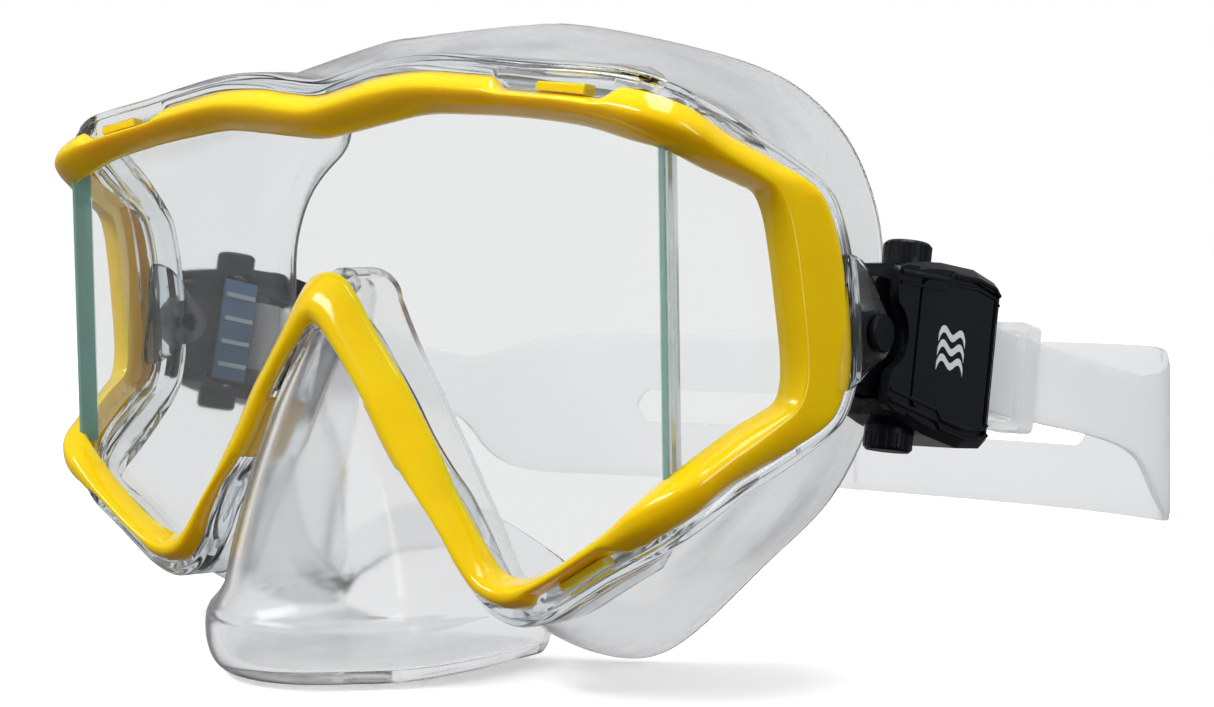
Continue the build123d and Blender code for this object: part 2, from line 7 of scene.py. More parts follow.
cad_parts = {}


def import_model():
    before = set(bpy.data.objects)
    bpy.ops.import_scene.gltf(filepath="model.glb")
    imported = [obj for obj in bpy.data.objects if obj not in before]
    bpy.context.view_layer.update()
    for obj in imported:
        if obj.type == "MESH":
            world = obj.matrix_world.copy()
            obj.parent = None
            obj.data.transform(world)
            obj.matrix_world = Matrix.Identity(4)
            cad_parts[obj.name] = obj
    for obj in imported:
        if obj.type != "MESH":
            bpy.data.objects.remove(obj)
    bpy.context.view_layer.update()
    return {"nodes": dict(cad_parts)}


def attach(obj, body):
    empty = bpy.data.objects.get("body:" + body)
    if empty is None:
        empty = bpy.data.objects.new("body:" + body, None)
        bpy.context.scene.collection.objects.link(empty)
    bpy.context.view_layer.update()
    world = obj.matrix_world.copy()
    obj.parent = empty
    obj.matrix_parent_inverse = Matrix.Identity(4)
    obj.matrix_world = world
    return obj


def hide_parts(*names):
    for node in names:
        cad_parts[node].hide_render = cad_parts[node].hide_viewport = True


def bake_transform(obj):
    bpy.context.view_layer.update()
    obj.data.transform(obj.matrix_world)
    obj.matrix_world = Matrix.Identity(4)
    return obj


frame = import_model()

# ------------------------------------------------------------------ geometry
# Points are worked out in millimetres from the middle of the front lens face:
# x to the wearer's left, y back towards the face, z up.
LENS_Y, LENS_Z = -68.85, 58.5
WRAP = math.radians(65.0)
CW, SW = math.cos(WRAP), math.sin(WRAP)
TURN = 7.0
TT = TURN * math.tan(WRAP / 2)
TILT = math.radians(12.0)
CB, SB = math.cos(TILT), math.sin(TILT)
NODES = frame["nodes"]


def world(p):
    return (np.asarray(p, float).reshape(-1, 3) + [0.0, LENS_Y, LENS_Z]) / 1000.0


def wrap(s, z, d):
    """s runs along the lens and round its corner, z up, d out of the glass."""
    s, z, d = np.broadcast_arrays(*(np.asarray(v, float) for v in (s, z, d)))
    a, sg = np.abs(s), np.where(s < 0, -1.0, 1.0)
    phi = np.clip((a - (70 - TT)) / (2 * TT), 0, 1) * WRAP
    x = np.where(a <= 70 - TT, a, np.where(a >= 70 + TT, 70 + (a - 70) * CW, 70 - TT + TURN * np.sin(phi)))
    y = np.where(a <= 70 - TT, 0, np.where(a >= 70 + TT, (a - 70) * SW, TURN - TURN * np.cos(phi)))
    return np.stack([sg * (x + d * np.sin(phi)), y - d * np.cos(phi), z], -1)


def hermite(t, y, q, closed=False):
    """Smooth curve through rows y at knots t, sampled at q."""
    t, y = np.asarray(t, float), np.asarray(y, float)
    if y.ndim == 1:
        y = y[:, None]
    if closed:
        period = t[-1] - t[0]
        tt = np.concatenate([[t[-2] - period], t, [t[1] + period]])
        yy = np.concatenate([y[-2:-1], y, y[1:2]])
        m = (yy[2:] - yy[:-2]) / (tt[2:] - tt[:-2])[:, None]
    else:
        m = np.empty_like(y)
        m[1:-1] = (y[2:] - y[:-2]) / (t[2:] - t[:-2])[:, None]
        m[0] = (y[1] - y[0]) / (t[1] - t[0])
        m[-1] = (y[-1] - y[-2]) / (t[-1] - t[-2])
    q = np.asarray(q, float)
    i = np.clip(np.searchsorted(t, q, side="right") - 1, 0, len(t) - 2)
    h = (t[i + 1] - t[i])[:, None]
    u = ((q - t[i])[:, None]) / h
    return (
        (2 * u**3 - 3 * u**2 + 1) * y[i] + (u**3 - 2 * u**2 + u) * h * m[i]
        + (-2 * u**3 + 3 * u**2) * y[i + 1] + (u**3 - u**2) * h * m[i + 1]
    )


def step(x, a, b):
    u = np.clip((x - a) / (b - a), 0, 1)
    return u * u * (3 - 2 * u)


def mesh(name, verts, faces, mat, angle=35.0, metres=False):
    me = bpy.data.meshes.new(name)
    v = np.asarray(verts, float) if metres else world(verts)
    me.from_pydata([tuple(p) for p in v], [], [tuple(int(i) for i in f) for f in faces])
    me.validate()
    o = bpy.data.objects.new(name, me)
    bpy.context.scene.collection.objects.link(o)
    for p in me.polygons:
        p.use_smooth = True
    if angle:
        me.set_sharp_from_angle(angle=math.radians(angle))
    if mat is not None:
        me.materials.append(mat)
    me.update()
    return o


def rings(grid, closed_u=True, closed_v=True, base=0):
    """Quads of a grid of points (n_u, n_v)."""
    nu, nv = grid.shape[:2]
    out = []
    for i in range(nu if closed_u else nu - 1):
        a, b = i * nv, ((i + 1) % nu) * nv
        for j in range(nv if closed_v else nv - 1):
            k = (j + 1) % nv
            out.append((base + a + j, base + a + k, base + b + k, base + b + j))
    return out


def fix_normals(o):
    import bmesh

    bm = bmesh.new()
    bm.from_mesh(o.data)
    bmesh.ops.remove_doubles(bm, verts=bm.verts, dist=2e-6)
    bmesh.ops.recalc_face_normals(bm, faces=bm.faces)
    bm.to_mesh(o.data)
    bm.free()
    o.data.update()
    return o


def shell(name, verts, faces, out, inn, mat, angle=35.0):
    """Thick closed skin: two offset copies of an open surface joined at its borders."""
    verts, out, inn = (np.asarray(a, float) for a in (verts, out, inn))
    n = len(verts)
    count = {}
    for f in faces:
        for a, b in zip(f, f[1:] + f[:1]):
            count[(a, b)] = count.get((a, b), 0) + 1
    both = [tuple(f) for f in faces] + [tuple(n + i for i in reversed(f)) for f in faces]
    for a, b in count:
        if (b, a) not in count:
            both.append((b, a, n + a, n + b))
    o = mesh(name, np.concatenate([verts + out, verts + inn]), both, mat, 0)
    import bmesh

    bm = bmesh.new()
    bm.from_mesh(o.data)
    loose = [v for v in bm.verts if not v.link_faces]
    bmesh.ops.delete(bm, geom=loose, context="VERTS")
    bmesh.ops.recalc_face_normals(bm, faces=bm.faces)
    bm.to_mesh(o.data)
    bm.free()
    o.data.set_sharp_from_angle(angle=math.radians(angle))
    o.data.update()
    return o


def grid_normals(g, closed_u):
    """Normals of a grid of points; u may be closed."""
    if closed_u:
        du = np.roll(g, -1, 0) - np.roll(g, 1, 0)
    else:
        du = np.gradient(g, axis=0)
    dv = np.gradient(g, axis=1)
    n = np.cross(du, dv)
    return n / np.maximum(np.linalg.norm(n, axis=-1, keepdims=True), 1e-9)


# ----------------------------------------------------------------- materials
def new_mat(name):
    m = bpy.data.materials.new(name)
    m.use_nodes = True
    nt = m.node_tree
    return m, nt, nt.nodes["Principled BSDF"]


def noise(nt, scale, detail=4.0, rough=0.55, stretch=(1, 1, 1)):
    tc = nt.nodes.new("ShaderNodeTexCoord")
    mp = nt.nodes.new("ShaderNodeMapping")
    mp.inputs["Scale"].default_value = stretch
    nt.links.new(tc.outputs["Object"], mp.inputs["Vector"])
    n = nt.nodes.new("ShaderNodeTexNoise")
    n.inputs["Scale"].default_value = scale
    n.inputs["Detail"].default_value = detail
    n.inputs["Roughness"].default_value = rough
    nt.links.new(mp.outputs["Vector"], n.inputs["Vector"])
    return n.outputs["Fac"]


def ramp(nt, fac, stops):
    r = nt.nodes.new("ShaderNodeValToRGB")
    el = r.color_ramp.elements
    while len(el) < len(stops):
        el.new(0.5)
    for e, (pos, col) in zip(el, stops):
        e.position = pos
        e.color = (*col, 1.0) if len(col) == 3 else col
    nt.links.new(fac, r.inputs["Fac"])
    return r.outputs["Color"]


def span(nt, fac, lo, hi):
    r = nt.nodes.new("ShaderNodeMapRange")
    r.inputs["From Min"].default_value = 0.25
    r.inputs["From Max"].default_value = 0.75
    r.inputs["To Min"].default_value = lo
    r.inputs["To Max"].default_value = hi
    nt.links.new(fac, r.inputs["Value"])
    return r.outputs["Result"]


def bump(nt, b, height, strength, dist):
    n = nt.nodes.new("ShaderNodeBump")
    n.inputs["Strength"].default_value = strength
    n.inputs["Distance"].default_value = dist
    nt.links.new(height, n.inputs["Height"])
    nt.links.new(n.outputs["Normal"], b.inputs["Normal"])


def yellow_plastic():
    m, nt, b = new_mat("yellow_frame_gloss")
    c = ramp(nt, noise(nt, 40, 3), [(0.3, (0.96, 0.60, 0.0)), (0.7, (0.99, 0.66, 0.0))])
    nt.links.new(c, b.inputs["Base Color"])
    nt.links.new(span(nt, noise(nt, 220, 5), 0.10, 0.17), b.inputs["Roughness"])
    b.inputs["IOR"].default_value = 1.45
    b.inputs["Specular IOR Level"].default_value = 0.35
    b.inputs["Coat Weight"].default_value = 0.35
    b.inputs["Coat Roughness"].default_value = 0.03
    b.inputs["Subsurface Weight"].default_value = 0.55
    b.inputs["Subsurface Radius"].default_value = (1.0, 0.38, 0.03)
    b.inputs["Subsurface Scale"].default_value = 0.004
    bump(nt, b, noise(nt, 90, 2), 0.05, 0.0004)
    return m


def clear(name, tint, lo, hi, rlo, rhi, ior, weight, bump_d=0.0003):
    m, nt, b = new_mat(name)
    c = ramp(nt, noise(nt, 26, 4), [(0.3, tint), (0.7, hi)])
    nt.links.new(c, b.inputs["Base Color"])
    nt.links.new(span(nt, noise(nt, 120, 4), rlo, rhi), b.inputs["Roughness"])
    b.inputs["IOR"].default_value = ior
    b.inputs["Transmission Weight"].default_value = weight
    bump(nt, b, noise(nt, 34, 3), 0.12, bump_d)
    return m


def glass():
    m, nt, b = new_mat("tempered_glass")
    c = ramp(nt, noise(nt, 12, 2), [(0.3, (0.965, 0.985, 0.98)), (0.7, (0.98, 0.995, 0.99))])
    nt.links.new(c, b.inputs["Base Color"])
    nt.links.new(span(nt, noise(nt, 60, 3), 0.0, 0.015), b.inputs["Roughness"])
    b.inputs["IOR"].default_value = 1.25
    b.inputs["Transmission Weight"].default_value = 1.0
    return m


def black_plastic(name, lo, hi, coat):
    m, nt, b = new_mat(name)
    c = ramp(nt, noise(nt, 60, 4), [(0.3, (0.0035, 0.0045, 0.0075)), (0.7, (0.007, 0.0085, 0.013))])
    nt.links.new(c, b.inputs["Base Color"])
    nt.links.new(span(nt, noise(nt, 260, 5), lo, hi), b.inputs["Roughness"])
    b.inputs["Specular IOR Level"].default_value = 0.2
    b.inputs["Coat Weight"].default_value = coat
    b.inputs["Coat Roughness"].default_value = 0.08
    bump(nt, b, noise(nt, 700, 2), 0.06, 0.0002)
    return m


def steel():
    m, nt, b = new_mat("stainless_steel")
    c = ramp(nt, noise(nt, 90, 4), [(0.3, (0.50, 0.51, 0.52)), (0.7, (0.66, 0.67, 0.68))])
    nt.links.new(c, b.inputs["Base Color"])
    b.inputs["Metallic"].default_value = 1.0
    nt.links.new(span(nt, noise(nt, 300, 4, stretch=(8, 1, 1)), 0.18, 0.34), b.inputs["Roughness"])
    bump(nt, b, noise(nt, 500, 2, stretch=(10, 1, 1)), 0.1, 0.0001)
    return m


def plain(name, a, c2, lo, hi, scale=80):
    m, nt, b = new_mat(name)
    c = ramp(nt, noise(nt, scale, 4), [(0.3, a), (0.7, c2)])
    nt.links.new(c, b.inputs["Base Color"])
    nt.links.new(span(nt, noise(nt, 200, 4), lo, hi), b.inputs["Roughness"])
    bump(nt, b, noise(nt, 400, 2), 0.05, 0.0002)
    return m


YELLOW = yellow_plastic()
CLEAR = clear("clear_frame_plastic", (0.86, 0.90, 0.93), 0, (0.93, 0.955, 0.97), 0.02, 0.07, 1.47, 1.0)
SILICONE = clear("clear_silicone_skirt", (0.94, 0.95, 0.96), 0, (0.97, 0.975, 0.98), 0.08, 0.2, 1.32, 0.96)
STRAP_MAT = clear("strap_silicone_milky", (0.94, 0.95, 0.965), 0, (0.975, 0.98, 0.985), 0.30, 0.38, 1.15, 0.84)
GLASS = glass()
BLACK = black_plastic("buckle_black_gloss", 0.12, 0.20, 0.05)
BLACK2 = black_plastic("buckle_black_satin", 0.30, 0.42, 0.0)
STEEL = steel()
ROLLER = plain("roller_acetal", (0.03, 0.03, 0.035), (0.05, 0.05, 0.055), 0.3, 0.45)
PRINT = plain("badge_white_print", (0.80, 0.82, 0.84), (0.88, 0.89, 0.90), 0.3, 0.45)
TEAL = clear("lens_edge_teal", (0.30, 0.58, 0.51), 0, (0.42, 0.68, 0.61), 0.1, 0.25, 1.3, 0.55)
TEAL2 = clear("lens_edge_pale", (0.78, 0.87, 0.85), 0, (0.86, 0.93, 0.91), 0.1, 0.2, 1.25, 0.75)
RIB_BLUE = plain("buckle_back_blue", (0.030, 0.115, 0.235), (0.045, 0.145, 0.28), 0.3, 0.45)
RIB_PALE = plain("buckle_rib_pale", (0.42, 0.50, 0.58), (0.55, 0.62, 0.68), 0.3, 0.45)

# --------------------------------------------------------------- lens ring
STATIONS = [
    ((0, 27.5), (0, 34.4)), ((7.5, 28.2), (7, 35.2)), ((14.6, 29.1), (14, 36.3)),
    ((24, 30), (24, 36.6)), ((34.2, 29.4), (35, 35.4)), ((44.1, 28.4), (45, 34)),
    ((55.9, 26.5), (57, 32.6)), ((64.8, 24), (66.5, 31)), ((70, 22.6), (73, 28.6)),
    ((76.1, 19.9), (80, 24.5)), ((81.9, 17.6), (88, 20.4)), ((84.2, 16.4), (92.5, 17.8)),
    ((85.6, 13.4), (95, 15)), ((86.6, 8), (97.2, 8.5)), ((87.6, 0), (98.3, 0)),
    ((88.3, -7), (98.6, -7)), ((88.2, -11), (97.8, -12)), ((87.2, -13.6), (95.4, -16.6)),
    ((84.4, -15.2), (89, -20.4)), ((80.4, -17.1), (83, -23.4)), ((76.6, -19.3), (78.5, -25.6)),
    ((70, -23.4), (73.5, -29)), ((64.6, -27.5), (69, -31.8)), ((60.4, -31), (64, -34.4)),
    ((55, -34.6), (58, -37.4)), ((50, -37.6), (52.5, -40.5)), ((44.5, -39.9), (46.2, -43.9)),
    ((40.6, -40.5), (40.8, -45.2)), ((37.4, -39.4), (35.6, -43.8)), ((34.6, -36.4), (31.9, -40.2)),
    ((31.6, -32.6), (28.6, -35.2)), ((28.4, -28.4), (24.6, -30.2)), ((25.1, -22.8), (20.8, -26.4)),
    ((21.3, -17.1), (16.6, -21.4)), ((17.5, -11.6), (12.9, -15.9)), ((13.6, -6.9), (9.4, -11.3)),
    ((9.6, -1.9), (6.2, -7.4)), ((5.9, 3), (3.6, -4.9)), ((3.2, 5.2), (1.8, -3.2)),
    ((0, 5.9), (0, -2.4)),
]
NS = len(STATIONS)
half = np.array([[a[0], a[1], b[0], b[1]] for a, b in STATIONS], float)
index = np.arange(NS, dtype=float)
other = half[1:-1][::-1].copy()
other[:, [0, 2]] *= -1
loop = np.concatenate([half, other, half[:1]])
# the index along the half ring mirrors too, so both sides share one section
kidx = np.concatenate([index, index[1:-1][::-1], index[:1]])
knots = np.concatenate([[0], np.cumsum(np.linalg.norm(
    np.diff((loop[:, :2] + loop[:, 2:]) / 2, axis=0), axis=1))])
N_RING = 1400
q = np.linspace(0, knots[-1], N_RING, endpoint=False)
ring = hermite(knots, loop, q, closed=True)
ki = np.interp(q, knots, kidx)
ring_in, ring_out = ring[:, :2], ring[:, 2:]
width = np.linalg.norm(ring_out - ring_in, axis=1)
dirn = (ring_out - ring_in) / width[:, None]
s_abs = np.abs((ring_in[:, 0] + ring_out[:, 0]) / 2)
top_side = ki < 15

# section of the ring at each station: crest place, crest height, inner and outer
# edge heights, depth of the outer wall
SECTION = [
    # index, crest, height, inner, outer, wall
    (0, 0.60, 4.4, 0.7, 1.5, -2.2), (7, 0.58, 4.4, 0.7, 1.5, -2.2), (9, 0.42, 4.3, 0.7, 1.6, -2.2),
    (11, 0.25, 4.2, 0.8, 2.6, -2.2), (17, 0.24, 4.2, 0.8, 2.6, -2.2), (19, 0.40, 4.4, 0.9, 1.8, -2.2),
    (23, 0.42, 4.5, 0.9, 1.2, -2.2), (27, 0.46, 4.7, 0.9, 1.2, -2.2), (29, 0.62, 4.8, 0.8, 2.8, -0.8),
    (31, 0.80, 4.9, 0.7, 4.1, 2.6), (36, 0.80, 4.9, 0.7, 4.1, 2.6), (39, 0.70, 4.8, 0.7, 3.7, 2.2),
]
sec = np.array(SECTION)
crest, high, low_in, low_out, wall = (np.interp(ki, sec[:, 0], sec[:, c]) for c in range(1, 6))


def gate(x, a, b, soft):
    """1 between a and b, 0 outside."""
    return step(x, a - soft, a + soft) * (1 - step(x, b - soft, b + soft))


s_mid = s_abs
notch_top = gate(s_mid, 40.0, 61.5, 1.8) * top_side
notch_low = gate(s_mid, 45.5, 61.0, 1.0) * (ki > 20)
clip = gate(ki, 32.3, 34.2, 0.05)
w_max = 1.0 - 0.30 * notch_top - 0.30 * notch_low + 0.06 * clip
wall = wall * (1 - clip) + (-3.6) * clip
low_end = low_out
crest_e = np.minimum(crest, w_max - 0.13)
sharp = np.interp(ki, [0, 8, 11, 17, 19, 22, 27, 30, 32, 39], [1.5, 1.5, 1.8, 1.8, 1.9, 2.3, 2.3, 1.7, 1.5, 1.6])


def ring_point(w, d):
    p = ring_in + (ring_out - ring_in) * (w[:, None] if np.ndim(w) else w)
    return wrap(p[:, 0], p[:, 1], d)


cols = [ring_point(0.0 * crest, 0.03 + 0 * crest)]
top_w = np.concatenate([np.linspace(0, 1, 15)[:-1] ** 1.0 * 0.5, 0.5 + np.linspace(0, 1, 19) ** 1.0 * 0.5])
for j, t in enumerate(top_w):
    # t below a half runs from the inner edge to the crest, above it to the outer edge
    if t <= 0.5:
        u = t * 2
        w = crest_e * (0.02 + 0.98 * u)
        d = low_in + (high - low_in) * (1 - (1 - u) ** sharp)
    else:
        u = (t - 0.5) * 2
        w = crest_e + (w_max - crest_e) * np.sin(u * math.pi / 2)
        u2 = np.sin(u * math.pi / 2)
        d = low_end + (high - low_end) * (1 - u2 ** (sharp + 0.35))
        # a broad flat face along the side rail
        flat = np.interp(ki, [10, 11.5, 17, 18.5], [0, 1, 1, 0])
        d_flat = high - (high - low_end) * np.clip((u - 0.72) / 0.28, 0, 1) ** 2.2 - 0.35 * u
        w_flat = crest_e + (w_max - crest_e) * (1 - (1 - u) ** 1.25)
        d = d * (1 - flat) + d_flat * flat
        w = w * (1 - flat) + w_flat * flat
    cols.append(ring_point(w, d))
cols.append(ring_point(w_max + 0.004, np.minimum(low_end - 0.3, wall + 0.25 + 0 * wall)))
cols.append(ring_point(w_max + 0.004, wall + 0.25))
cols.append(ring_point(w_max - 0.02, wall))
cols.append(ring_point(w_max - 0.10, wall))
cols.append(ring_point(w_max - 0.13, np.maximum(wall, 0.03)))
bezel_grid = np.stack(cols, 1)
bezel = mesh("yellow_bezel", bezel_grid.reshape(-1, 3), rings(bezel_grid), YELLOW, 50)
fix_normals(bezel)
bezel.data.set_sharp_from_angle(angle=math.radians(50))
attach(bezel, "mask")
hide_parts("bezel_frame")


# small yellow tabs that show in the notches, standing in the clear frame
def arc_block(name, k_of, lo, hi, w0, w1, d0, d1, mat, side):
    """Block that follows the ring between two places."""
    sel = np.where((k_of >= lo) & (k_of <= hi) & (np.sign(ring[:, 0]) == side))[0]
    sel = sel[np.argsort(k_of[sel])]
    prof = [(w0, d0), (w0, d1 - 0.2), (w0 + 0.03, d1), (w1 - 0.05, d1 - 0.1), (w1, d1 - 0.5), (w1, d0)]
    g = []
    for w, d in prof:
        p = ring_in[sel] + (ring_out[sel] - ring_in[sel]) * w
        g.append(wrap(p[:, 0], p[:, 1], d))
    g = np.stack(g, 1)
    f = rings(g, closed_u=False)
    n = g.shape[1]
    f += [tuple(range(n)), tuple((len(sel) - 1) * n + i for i in reversed(range(n)))]
    return g.reshape(-1, 3), f


def merge(parts):
    verts, faces = [], []
    for v, f in parts:
        faces += [tuple(i + len(verts) for i in face) for face in f]
        verts += [tuple(p) for p in v]
    return np.array(verts), faces


top_k = np.where(top_side, s_mid, -999)
low_k = np.where(ki > 20, s_mid, -999)
tabs = []
for side in (1, -1):
    tabs.append(arc_block("t", top_k, 47.7, 57.0, 0.74, 0.99, -2.0, 2.2, YELLOW, side))
    tabs.append(arc_block("t", low_k, 49.8, 58.2, 0.72, 1.06, -2.0, 1.9, YELLOW, side))
v, f = merge(tabs)
tab = fix_normals(mesh("bezel_clip_tabs", v, f, YELLOW, 40))
tab.data.set_sharp_from_angle(angle=math.radians(40))
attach(tab, "mask")
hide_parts("bezel_frame")

# clear frame: follows the yellow ring, a rim outside it and a wall behind it
rimw = np.interp(ki, [0, 8, 12, 17, 20, 27, 29, 31, 39], [2.9, 2.9, 2.6, 2.6, 2.8, 2.8, 1.8, 1.0, 1.0])
ftop = np.interp(ki, [0, 9, 11, 17, 19, 27, 29, 31, 39], [1.8, 1.8, 2.4, 2.4, 1.8, 1.8, 2.2, 3.4, 3.2])
back = np.interp(ki, [0, 8, 11, 17, 20, 27, 30, 39], [-8.6, -8.4, -7.2, -7.2, -8.2, -8.4, -8.0, -8.0])


def out_point(o, d):
    p = ring_out + dirn * (o[:, None] if np.ndim(o) else o)
    # the section can't reach past the centre of the corner's bend
    near = 1 - step(np.abs(np.abs(p[:, 0]) - 70), 4.0, 11.0)
    lowest = -12.0 * (1 - near) - 6.0 * near
    return wrap(p[:, 0], p[:, 1], np.maximum(d, lowest))


oi = -(1 - np.minimum(w_max, 1.0)) * width + 0.05
deep = np.minimum(wall, -2.4)
section = [
    (oi, deep - 0.1), (oi, ftop - 0.35), (oi + 0.12, ftop - 0.08), (oi + 0.3, ftop),
    (rimw * 0.42, ftop - 0.02), (rimw * 0.46, ftop - 0.12), (rimw * 0.5, ftop - 0.42), (rimw * 0.55, ftop - 0.5),
    (rimw - 0.75, ftop - 0.62), (rimw - 0.38, ftop - 0.74), (rimw - 0.12, ftop - 1.0), (rimw, ftop - 1.4),
    (rimw + 0.1, ftop - 2.4), (rimw + 0.2, -3.4 + 0 * rimw), (rimw + 0.34, -4.6 + 0 * rimw),
    (rimw + 0.36, back + 1.2), (rimw + 0.3, back + 0.5), (rimw + 0.05, back + 0.1), (rimw - 0.3, back),
    (rimw - 1.5, back + 0.05), (rimw - 1.85, back + 0.3), (rimw - 2.0, back + 0.8),
    (rimw - 2.2, -4.2 + 0 * rimw), (np.minimum(rimw - 2.5, -0.4), -3.5 + 0 * rimw),
    (-2.3 + 0 * rimw, -3.45 + 0 * rimw), (-2.5 + 0 * rimw, -3.2 + 0 * rimw), (-2.4 + 0 * rimw, deep - 0.15),
]
frame_grid = np.stack([out_point(o, d) for o, d in section], 1)
# the moulding flows round the lens corners with a soft radius
soft = frame_grid.copy()
for _ in range(2):
    pad = np.concatenate([soft[-15:], soft, soft[:15]], 0)
    soft = np.mean([pad[k:k + len(frame_grid)] for k in range(31)], 0)
bend = (1 - step(np.abs(np.abs(ring_out[:, 0]) - 70), 5.0, 13.0))[:, None, None]
frame_grid = frame_grid * (1 - bend) + soft * bend


def place_buckle(x, u, v):
    """Buckle directions: x sideways, u back along the strap, v up across it."""
    x, u, v = np.broadcast_arrays(*(np.asarray(a, float) for a in (x, u, v)))
    return np.stack([x, 32.0 + u * CB + v * SB, -4.3 - u * SB + v * CB], -1)


def prism(outline, x0, x1, round_mm=0.35, sign=1):
    """Plate in the buckle's directions with small rounded rims."""
    o = np.array(outline, float)
    c = o.mean(0)
    n = len(o)
    rings_ = []
    for x, k in ((x0, round_mm), (x0 + round_mm * 0.3, round_mm * 0.3), (x0 + round_mm, 0),
                 (x1 - round_mm, 0), (x1 - round_mm * 0.3, round_mm * 0.3), (x1, round_mm)):
        t = o - c
        t = c + t * (1 - k / np.maximum(np.linalg.norm(t, axis=1, keepdims=True), 1e-6))
        rings_.append(place_buckle(sign * x, t[:, 0], t[:, 1]))
    g = np.stack(rings_, 0)
    f = rings(g, closed_u=False)
    f += [tuple(reversed(range(n))), tuple((len(g) - 1) * n + i for i in range(n))]
    return g.reshape(-1, 3), f


def smooth_outline(points, n=64):
    p = np.array(list(points) + [points[0]], float)
    t = np.concatenate([[0], np.cumsum(np.linalg.norm(np.diff(p, axis=0), axis=1))])
    return hermite(t, p, np.linspace(0, t[-1], n, endpoint=False), closed=True)


ear = [(-8.6, -9.6), (-9.4, 0), (-10.2, 9.6), (-7.0, 9.9), (-4.4, 8.6), (-1.4, 6.2), (1.7, 3.8), (3.8, 1.9),
       (4.2, 0), (3.8, -1.9), (1.7, -3.8), (-1.4, -6.0), (-4.4, -8.4), (-6.6, -9.6)]
parts = [(frame_grid.reshape(-1, 3), rings(frame_grid))]
for sg in (1, -1):
    parts.append(prism(smooth_outline(ear), 76.3, 77.9, 0.35, sg))
    parts.append(prism(smooth_outline(ear), 83.5, 85.1, 0.35, sg))
v, f = merge(parts)
clear_frame = fix_normals(mesh("clear_frame_ring", v, f, CLEAR, 40))
clear_frame.data.set_sharp_from_angle(angle=math.radians(40))
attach(clear_frame, "mask")
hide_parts("inner_frame")

# ---------------------------------------------------------- bonded lens edges
for sg, side in ((1, "left"), (-1, "right")):
    node = "lens_seam_" + side
    for label, a0, a1, mat in (("edge", -0.85, 0.0, TEAL), ("bond", 0.0, 1.35, TEAL2)):
        zz = np.linspace(-25.4, 24.6, 26)
        cs = []
        for off, dep in ((a0, -0.02), (a1, -0.02), (a1, 3.22), (a0, 3.22)):
            # off runs along the front lens when negative and the side lens when positive
            k = math.tan(WRAP / 2) * dep
            if off <= 0:
                x, y = 70 + off - k, dep
            else:
                x, y = 70 + off * CW - k * CW * 1.0 - dep * 0 , off * SW + dep
                x, y = 70 + off * CW - dep * SW + (dep * SW - k), off * SW + dep
            cs.append((x, y))
        g = np.array([[(sg * x, y, z) for x, y in cs] for z in zz], float)
        fcs = rings(g, closed_u=False) + [(3, 2, 1, 0), tuple(len(g) * 4 - 4 + i for i in range(4))]
        o = fix_normals(mesh(f"lens_{label}_{side}", g.reshape(-1, 3), fcs, mat, 30))
        o.data.set_sharp_from_angle(angle=math.radians(30))
        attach(o, "mask")
        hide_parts(node)

# ------------------------------------------------------------------- skirt
SK = [
    (2.0, [(0, 33.0), (16, 34.6), (32, 34.6), (52, 31.6), (70, 27.5), (77, 16.0),
           (78.0, 0), (77, -16.0), (70, -28.5), (57, -36.8), (43, -43.5), (33, -41.0),
           (22, -28.0), (10, -20.0), (0, -18.0)]),
    (12.0, [(0, 36.0), (16, 37.6), (32, 37.0), (52, 33.5), (70, 28.0), (77.5, 17.0),
            (78.5, 0), (77.5, -17.0), (70, -29.5), (57, -40.5), (43, -49.5), (32, -48.5),
            (22, -41.0), (10, -34.0), (0, -32.0)]),
    (22.0, [(0, 42.0), (16, 42.2), (32, 40.6), (52, 35.2), (69, 27.0), (76.0, 16.0),
            (77.5, 0), (76.0, -16.5), (68, -30.0), (56, -42.5), (43, -54.0), (32, -54.0),
            (22, -48.0), (10, -43.0), (0, -42.0)]),
    (34.0, [(0, 47.0), (16, 46.6), (32, 43.6), (50, 37.6), (65, 28.6), (73.6, 16.0),
            (74.8, 0), (74.4, -14.0), (68, -29.5), (56, -42.5), (43, -56.0), (32, -57.0),
            (22, -51.0), (10, -46.0), (0, -45.0)]),
    (52.0, [(0, 48.0), (16, 47.4), (32, 44.0), (50, 38.0), (64, 28.0), (71.0, 15.0),
            (72.6, 0), (72.0, -13.0), (65, -28.0), (55, -40.0), (43, -52.0), (32, -54.0),
            (22, -50.0), (10, -46.0), (0, -45.0)]),
]
NJ = 420
outlines = []
for y, pts in SK:
    p = pts + [(-x, z) for x, z in reversed(pts[1:-1])]
    p = np.array(p + [p[0]], float)
    t = np.arange(len(p), dtype=float)
    outlines.append(hermite(t, p, np.linspace(0, t[-1], NJ, endpoint=False), closed=True))
outlines = np.array(outlines)            # (5, NJ, 2)
ys = np.array([y for y, _ in SK])


def skirt_xz(y):
    """Outline points at depth y, one depth per point of the outline."""
    out = np.empty((NJ, 2))
    for j in range(NJ):
        out[j] = hermite(ys, outlines[:, j], np.array([y[j]]))[0]
    return out


def face_y(x, z):
    yc = np.interp(z, [-62, -20, 20, 62], [19.0, 31.0, 34.0, 30.0])
    return yc + 82.0 - np.sqrt(np.maximum(82.0**2 - x**2, 1.0))


fine = np.linspace(3.4, 52.0, 98)
path = np.array([skirt_xz(np.full(NJ, y)) for y in fine])        # (98, NJ, 2)
prism_x = 68.0 + 0.466 * (fine - 3.2)
y0 = np.empty(NJ)
y1 = np.empty(NJ)
for j in range(NJ):
    x, z = path[:, j, 0], path[:, j, 1]
    ok = np.where(np.abs(x) < prism_x + 1.5)[0]
    a = ok[0] if len(ok) else 0
    y0[j] = fine[a]
    past = np.where(fine >= face_y(x, z))[0]
    y1[j] = fine[past[0]] if len(past) else 52.0
    y1[j] = max(y1[j], y0[j] + 4.0)


